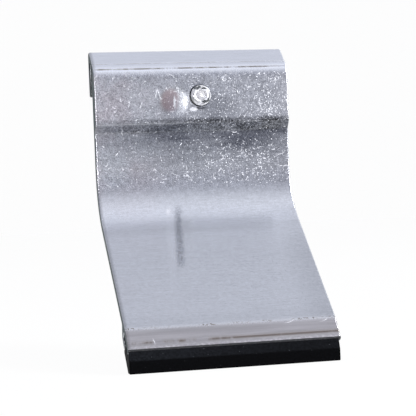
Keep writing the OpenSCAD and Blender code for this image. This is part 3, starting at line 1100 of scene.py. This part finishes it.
def baked(carrier, name):
    """A plain mesh object from an object with modifiers, which is then removed."""
    bpy.context.view_layer.update()
    graph = bpy.context.evaluated_depsgraph_get()
    mesh = bpy.data.meshes.new_from_object(carrier.evaluated_get(graph))
    mesh.name = name
    removed(carrier)
    return linked(name, mesh)


def removed(item):
    """Takes an object and its mesh away."""
    data = item.data
    bpy.data.objects.remove(item)
    bpy.data.meshes.remove(data)


def outline_mesh(points, values):
    """A closed line of points in the sweep's own plane, with a value of each kind at every point."""
    mesh = bpy.data.meshes.new("section")
    count = len(points)
    corners = [(-p.x, -p.y, 0.0) for p, _ in points]
    mesh.from_pydata(corners, [(i, (i + 1) % count) for i in range(count)], [])
    runs = [0.0]
    for (before, _), (here, _) in zip(points, points[1:]):
        runs.append(runs[-1] + (here - before).length)
    values = dict(values, run=runs)
    values["into_y"] = [into.x for _, into in points]
    values["into_z"] = [into.y for _, into in points]
    for name, numbers in values.items():
        layer = mesh.attributes.new(name, "FLOAT", "POINT")
        layer.data.foreach_set("value", numbers)
    return mesh


def fade(value, low, high):
    """A straight step from 0 at low to 1 at high."""
    return min(1.0, max(0.0, (value - low) / (high - low)))


def nearness(point, place, reach):
    """1 at a place, falling to 0 at its reach."""
    return max(0.0, 1 - (point - place).length / reach)


def zone(section, sizes, p, into):
    """How much of each zone a point of the section has."""
    crease = section.crease_z
    step_end = section.step_end
    bend = section.bend_start
    found = dict.fromkeys(ZONES, 0.0)
    front = into.x > 0.3 and p.x < section.wall_back - 1 * MM
    if front and p.y > crease:
        # Painted shade along the crease: the bottom of the wall is darkened where its rounding would fall
        # into shade
        found["grime"] = fade(p.y, crease + 1.9 * MM, crease + 0.9 * MM)
        found["scuffed"] = fade(p.y, -3 * MM, -5.5 * MM)
        found["film"] = 0.64 * fade(p.y, crease + 2.5 * MM, crease + 1.0 * MM)
    elif front and p.y > step_end:
        # Painted shade on the step, which faces down under the crease
        found.update(scuffed=1.0, film=1.0, grime=0.65)
    elif front:
        found["scuffed"] = 0.7 * fade(p.y, bend - 11.5 * MM, bend - 4 * MM)
        found["scuffed"] += 0.2 * fade(p.y, bend - 22 * MM, bend - 11 * MM) + 0.1
        # Painted shade and reflection on the plate, darkest just under the step
        found["film"] = 0.9 * fade(p.y, step_end - 17 * MM, step_end)
        found["grime"] = 0.65 * fade(p.y, step_end - 1.2 * MM, step_end)
    if front and section.lip_top.y < p.y < bend:
        found["ramp"] = 1.0
    up = (section.lip_end - p).dot(section.lip_down)
    deep = (p - section.lip_end).dot(section.lip_in)
    if up > -0.1 * MM and deep < 0.5 * MM:
        found["lip"] = fade(up, sizes.lip_l + 0.3 * MM, sizes.lip_l - 1 * MM)
        found["lip_edge"] = fade(up, 2.0 * MM, 0.8 * MM)
    # Where the painted shadow of the foot on the lip's end lies
    if up > -0.1 * MM and deep < 1.2 * MM:
        found["lip_foot"] = fade(up, 1.5 * MM, 0.6 * MM)
    # Painted shade: the faces inside the slot are darkened where little light reaches
    if abs(p.x) < abs(section.wall_back) + 0.1 * MM and p.y < 1.8 * MM:
        found["slot"] = fade(p.y, -16 * MM, -12 * MM)
    near = [nearness(p, line, reach) for line, reach in zip(section.die_lines, LINE_REACH)]
    found["die_line"] = min(1.0, 1.5 * max(near))
    # Where the painted highlight and the dark dashes on the ridge between ramp and lip lie
    found["lip_ridge"] = nearness(p, section.lip_top, 1.1 * MM)
    # Where the painted highlight on the crease's edge lies
    found["edge"] = nearness(p, section.crease_edge, 0.7 * MM)
    return found


def zones(section, sizes, points):
    """The zones of every point, one list for each."""
    rows = [zone(section, sizes, p, into) for p, into in points]
    return {name: [row[name] for row in rows] for name in ZONES}


def ends_finished(piece, half):
    """Smooth sides, and flat sawn ends with the piece's second finish where it has one."""
    for face in piece.data.polygons:
        face.use_smooth = True
        if abs(face.normal.x) > 0.999 and abs(abs(face.center.x) - half) < 1e-6:
            face.use_smooth = False
            face.material_index = len(piece.data.materials) - 1


def sharpened(piece, degrees):
    """Smooth shading with a hard line wherever two faces turn by more than an angle."""
    piece.data.set_sharp_from_angle(angle=math.radians(degrees))


def ring(mesh, centre, deep, reaches):
    """A ring of vertices round the Y axis through a centre, some way along it, one for each reach."""
    loop = []
    for i, reach in enumerate(reaches):
        angle = 2 * math.pi * i / len(reaches)
        loop.append(mesh.verts.new(centre + Vector((reach * math.sin(angle), deep, reach * math.cos(angle)))))
    return loop


def ring_faces(mesh, loops):
    """Faces between each ring of vertices and the next."""
    for first, second in zip(loops, loops[1:]):
        for i in range(len(first)):
            j = (i + 1) % len(first)
            mesh.faces.new((first[i], first[j], second[j], second[i]))


def closed_mesh(mesh, name):
    """A finished mesh whose faces point outwards."""
    bmesh.ops.recalc_face_normals(mesh, faces=mesh.faces)
    data = bpy.data.meshes.new(name)
    mesh.to_mesh(data)
    mesh.free()
    return data


def scene_values(context):
    """The section, sizes, marks and colours of the scene."""
    scene = context.scene
    section = Section(scene.guard_sizes, scene.guard_marks)
    return section, scene.guard_sizes, scene.guard_marks, scene.guard_colours


class SNOWGUARD_OT_clip(bpy.types.Operator):
    """Builds the aluminium clip: hook, upper wall, plate, bend, ramp, lip and channel"""

    bl_idname = "snowguard.clip"
    bl_label = "Build the clip"

    def execute(self, context):
        section, sizes, marks, colours = scene_values(context)
        points = outline(
            section.clip_corners(), step=1.0 * MM, grooves=section.die_lines, depth=marks.line_depth
        )
        source = outline_mesh(points, zones(section, sizes, points))
        values = {
            "Length": sizes.guard_w,
            "End round": sizes.end_round,
            "End reach": sizes.end_reach,
            "Stations": CLIP_STATIONS,
            "Finish": aluminium(sizes, marks, colours),
        }
        clip = made_real(source, "clip_extrusion", sweep_tree(), values)
        clip.data.materials.append(sawn_metal(colours))
        self.dent(clip, section, marks)
        ends_finished(clip, sizes.guard_w / 2)
        clip = self.drilled(clip, section, sizes)
        sharpened(clip, degrees=35)
        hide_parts("clip_body")
        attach(clip, "clip")
        return {"FINISHED"}

    def dent(self, clip, section, marks):
        """Presses the shallow dish into the front of the upper wall."""
        half = marks.dent_d / 2
        dish = (half ** 2 + marks.dent_depth ** 2) / (2 * marks.dent_depth)
        on_wall = 0.02 * MM
        for vertex in clip.data.vertices:
            if abs(vertex.co.y - section.wall_front) > on_wall:
                continue
            away = math.hypot(vertex.co.x - marks.dent_x, vertex.co.z + marks.dent_drop)
            if away < half:
                vertex.co.y += math.sqrt(dish ** 2 - away ** 2) - (dish - marks.dent_depth)

    def drilled(self, clip, section, sizes):
        """Cuts the screw's hole through the upper wall, with a broken edge at the front."""
        radius = sizes.screw_d / 2 + sizes.screw_clear
        flare = 0.25 * MM
        past_front = 1 * MM
        past_back = 0.5 * MM
        rings = [
            (section.wall_front - past_front, radius + flare + past_front),
            (section.wall_front + flare, radius),
            (section.wall_back + past_back, radius),
        ]
        axis = Vector((sizes.screw_x, 0, -sizes.screw_drop))
        mesh = bmesh.new()
        loops = [ring(mesh, axis, y, [reach] * HOLE_SIDES) for y, reach in rings]
        ring_faces(mesh, loops)
        mesh.faces.new(loops[0])
        mesh.faces.new(list(reversed(loops[-1])))
        cutter = linked("hole_cutter", closed_mesh(mesh, "hole_cutter"))
        modifier = clip.modifiers.new("Hole", "BOOLEAN")
        modifier.operation = "DIFFERENCE"
        modifier.solver = "EXACT"
        modifier.object = cutter
        clip.name = "clip_uncut"
        clip = baked(clip, "clip_extrusion")
        removed(cutter)
        return clip


class SNOWGUARD_OT_foot(bpy.types.Operator):
    """Builds the rubber foot, whose tongue sits in the channel behind the lip"""

    bl_idname = "snowguard.foot"
    bl_label = "Build the foot"

    def execute(self, context):
        section, sizes, _, colours = scene_values(context)
        points = outline(section.foot_corners(), step=0.6 * MM)
        source = outline_mesh(points, {"dust_and_light": self.dust_and_light(section, points)})
        half = sizes.guard_w / 2
        values = {
            "Length": sizes.guard_w,
            "End round": 0.25 * MM,
            "End reach": 0.3 * MM,
            "Stations": FOOT_STATIONS,
            "Finish": black_rubber(colours),
        }
        foot = made_real(source, "rubber_strip", sweep_tree(), values)
        ends_finished(foot, half)
        for vertex in foot.data.vertices:
            if vertex.co.x > 0:
                vertex.co.x *= 1 - sizes.foot_short / half
        sharpened(foot, degrees=35)
        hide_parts("rubber_foot")
        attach(foot, "clip")
        return {"FINISHED"}

    def dust_and_light(self, section, points):
        """How much dust and painted light each point of the foot takes: the upper band faces up a little and
        is painted lighter.
        """
        band_low = section.band_end.y
        return [fade(p.y, band_low + 0.1 * MM, band_low + 0.6 * MM) for p, _ in points]


class SNOWGUARD_OT_screw(bpy.types.Operator):
    """Builds the set screw, with its thread, its hexagon socket and its rounded point"""

    bl_idname = "snowguard.screw"
    bl_label = "Build the set screw"

    def execute(self, context):
        section, sizes, _, colours = scene_values(context)
        face_y = section.wall_front - sizes.screw_out
        source = self.blank(sizes, face_y)
        values = {
            "Pitch": sizes.thread_pitch,
            "Depth": sizes.thread_depth,
            "Radius": sizes.screw_d / 2,
            "Axis X": sizes.screw_x,
            "Axis Z": -sizes.screw_drop,
            "Face Y": face_y,
            "Finish": stainless(sizes, colours, face_y),
        }
        screw = made_real(source, "socket_set_screw", thread_tree(), values)
        sharpened(screw, degrees=40)
        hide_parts("set_screw")
        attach(screw, "screw")
        return {"FINISHED"}

    def socket_rings(self, sizes):
        """Rings up the socket and over its rim: how deep, and how far out at each side."""
        flat = sizes.socket_af / 2
        worn_corner = flat * 1.12
        socket_turn = math.radians(11)
        rim = 0.25 * MM
        steps = 5
        hexagon = []
        for i in range(SCREW_SIDES):
            angle = 2 * math.pi * i / SCREW_SIDES + socket_turn
            turned = angle % math.radians(60) - math.radians(30)
            hexagon.append(min(flat / math.cos(turned), worn_corner))
        rise = rim - sizes.socket_depth
        rings = [(sizes.socket_depth + rise * i / steps, 0.0) for i in range(steps + 1)]
        rings += [(rim * 0.3, rim * 0.35), (0.0, rim)]
        return [(deep, [wider + reach for reach in hexagon]) for deep, wider in rings]

    def outer_rings(self, sizes):
        """Rings over the chamfer, along the thread and round the point: how deep, and how far out."""
        radius = sizes.screw_d / 2
        chamfer = sizes.face_chamfer
        flat_end = radius - chamfer
        chamfer_steps = 8
        rings_a_turn = 14
        point_steps = 24
        rings = [(0.03 * MM, flat_end)]
        for i in range(1, chamfer_steps + 1):
            rings.append((chamfer * (i / chamfer_steps), flat_end + chamfer * (i / chamfer_steps)))
        point_middle = sizes.screw_l - sizes.point_r
        point_start = point_middle + math.sqrt(sizes.point_r ** 2 - radius ** 2)
        steps = math.ceil((point_start - chamfer) / (sizes.thread_pitch / rings_a_turn))
        for i in range(1, steps + 1):
            rings.append((chamfer + (point_start - chamfer) * i / steps, radius))
        widest = math.asin(radius / sizes.point_r)
        for i in range(1, point_steps):
            angle = widest * (1 - i / point_steps)
            rings.append((point_middle + sizes.point_r * math.cos(angle), sizes.point_r * math.sin(angle)))
        return [(deep, [reach] * SCREW_SIDES) for deep, reach in rings]

    def blank(self, sizes, face_y):
        """The screw before its thread is cut: rings from the socket's cone, over the face, to the point."""
        mesh = bmesh.new()
        outside = mesh.verts.layers.float.new("outside")
        oily = mesh.verts.layers.float.new("oily")
        centre = Vector((sizes.screw_x, face_y, -sizes.screw_drop))
        face_end = sizes.screw_d / 2 - sizes.face_chamfer - 0.1 * MM
        inner = self.socket_rings(sizes) + [(0.0, [face_end] * SCREW_SIDES)]
        loops = [ring(mesh, centre, deep, reaches) for deep, reaches in inner]
        for deep, reaches in self.outer_rings(sizes):
            loops.append(ring(mesh, centre, deep, reaches))
            for vertex in loops[-1]:
                vertex[outside] = 1.0
                vertex[oily] = 1.0 if deep > sizes.face_chamfer * 0.9 else 0.0
        ring_faces(mesh, loops)
        drill = mesh.verts.new(centre + Vector((0, sizes.socket_depth + sizes.socket_af / 4, 0)))
        tip = mesh.verts.new(centre + Vector((0, sizes.screw_l, 0)))
        for i in range(SCREW_SIDES):
            j = (i + 1) % SCREW_SIDES
            mesh.faces.new((drill, loops[0][j], loops[0][i]))
            mesh.faces.new((tip, loops[-1][i], loops[-1][j]))
        for face in mesh.faces:
            face.smooth = True
        return closed_mesh(mesh, "screw_blank")


class SNOWGUARD_OT_stage(bpy.types.Operator):
    """Sets the pale floor and backdrop, the soft light and the camera"""

    bl_idname = "snowguard.stage"
    bl_label = "Set the stage"

    def execute(self, context):
        context.scene.view_settings.view_transform = "Standard"
        pale = self.pale(context.scene.guard_colours)
        side = 3
        back = 2.2
        low = FLOOR_Z
        floor = [(-side, -side, low), (side, -side, low), (side, back, low), (-side, back, low)]
        backdrop = [(-side, back, low), (side, back, low), (side, back, side), (-side, back, side)]
        self.panel("floor", floor, pale)
        self.panel("backdrop", backdrop, pale)
        self.room(context)
        ramp = (0, -0.03, -0.05)
        wall = (0, -0.01, -0.02)
        self.softbox("key_light", (0.35, -0.70, 1.0), ramp, width=1.1, height=0.65, watts=0.52)
        self.softbox("window_light", (-0.26, -1.38, 0.0), wall, width=0.8, height=0.5, watts=1.3)
        self.softbox("side_light", (1.05, -0.70, 0.60), ramp, width=0.4, height=0.4, watts=19.0)
        self.softbox("front_light", (-0.17, -0.95, 0.02), wall, width=0.12, height=0.12, watts=3.0)
        self.camera(context)
        return {"FINISHED"}

    def pale(self, colours):
        """White to the camera and in reflections near the guard, over a plain surface for the shadow, with a
        painted fall-off of light on the floor far in front.
        """
        material, tree, shader = new_material("pale_stage", "ShaderNodeMixShader")
        camera = added(tree, "ShaderNodeLightPath", output="Is Camera Ray")
        seen = camera.most(camera.output("Is Glossy Ray")).most(camera.output("Is Transmission Ray"))
        y = added(tree, "ShaderNodeTexCoord", output="Object").parts()[1]
        # Painted fall-off of light: the floor far in front of the guard is darker
        far_floor = (0.25, 0.25, 0.27)
        shade = y.step(-0.7, -0.18).mix(far_floor, colours.floor)
        feed_all(shader, {
            0: seen * y.step(-0.7, -0.18, 0.0, 0.95),
            1: added(tree, "ShaderNodeBsdfDiffuse", {"Color": shade}),
            2: added(tree, "ShaderNodeEmission", {"Strength": 1.0}),
        })
        return material

    def panel(self, name, corners, material):
        """A flat panel of the stage."""
        data = bpy.data.meshes.new(name)
        data.from_pydata(corners, [], [(0, 1, 2, 3)])
        data.materials.append(material)
        panel = linked(name, data)

    def room(self, context):
        """The room's even light: pale above, with a dark warm strip at the right and pale beyond it."""
        world = bpy.data.worlds.new("studio")
        context.scene.world = world
        world.use_nodes = True
        tree = world.node_tree
        background = lone_shader(tree, "ShaderNodeOutputWorld", "ShaderNodeBackground")
        x, _, z = added(tree, "ShaderNodeTexCoord", output="Generated").parts()
        in_front = (0.36, 0.372, 0.44)
        dark_strip = (0.18, 0.15, 0.17)
        beyond = (0.66, 0.70, 0.79)
        above = (0.72, 0.738, 0.81)
        colour = x.step(0.25, 0.42).mix(in_front, dark_strip)
        colour = x.step(0.58, 0.72).mix(colour, beyond)
        feed(z.step(0.48, 0.74).mix(colour, above), background["Color"])

    def softbox(self, name, place, aim, width, height, watts):
        """A soft rectangular light aimed at a point."""
        lamp = bpy.data.lights.new(name, "AREA")
        lamp.shape = "RECTANGLE"
        lamp.size = width
        lamp.size_y = height
        lamp.energy = watts
        light = linked(name, lamp)
        light.location = place
        light.rotation_euler = (Vector(aim) - Vector(place)).to_track_quat("-Z", "Y").to_euler()

    def camera(self, context):
        """The camera of the picture, level and a little to the left of the guard."""
        lens = bpy.data.cameras.new("camera")
        lens.sensor_width = 36
        lens.lens = 124.0
        lens.clip_start = 0.01
        camera = linked("camera", lens)
        right = Vector((0.974974, -0.218390, -0.041607))
        up = Vector((0.042403, -0.001044, 0.999100))
        forward = Vector((0.218237, 0.975861, -0.008242))
        turned = Matrix((right, up, -forward)).transposed()
        camera.matrix_world = Matrix.Translation((-0.11630, -0.54652, -0.05224)) @ turned.to_4x4()
        context.scene.camera = camera


class SNOWGUARD_PT_panel(bpy.types.Panel):
    """Lists the steps that build the guard"""

    bl_idname = "SNOWGUARD_PT_panel"
    bl_label = "Snow guard"
    bl_space_type = "VIEW_3D"
    bl_region_type = "UI"
    bl_category = "Snow guard"

    def draw(self, context):
        for step in STEPS:
            self.layout.operator(step.bl_idname)
        self.layout.prop(context.scene.guard_marks, "scratches")
        self.layout.prop(context.scene.guard_colours, "metal")


STEPS = (SNOWGUARD_OT_stage, SNOWGUARD_OT_clip, SNOWGUARD_OT_foot, SNOWGUARD_OT_screw)
CLASSES = (GuardSizes, GuardMarks, GuardColours, *STEPS, SNOWGUARD_PT_panel)


def register():
    """Registers the classes and gives each scene its sizes, marks and colours."""
    for item in CLASSES:
        bpy.utils.register_class(item)
    bpy.types.Scene.guard_sizes = bpy.props.PointerProperty(type=GuardSizes)
    bpy.types.Scene.guard_marks = bpy.props.PointerProperty(type=GuardMarks)
    bpy.types.Scene.guard_colours = bpy.props.PointerProperty(type=GuardColours)


def unregister():
    """Takes the classes and the scene's settings away again."""
    del bpy.types.Scene.guard_colours
    del bpy.types.Scene.guard_marks
    del bpy.types.Scene.guard_sizes
    for item in reversed(CLASSES):
        bpy.utils.unregister_class(item)


def main():
    """Builds the scene."""
    register()
    bpy.ops.snowguard.stage()
    bpy.ops.snowguard.clip()
    bpy.ops.snowguard.foot()
    bpy.ops.snowguard.screw()


if __name__ == "__main__":
    main()
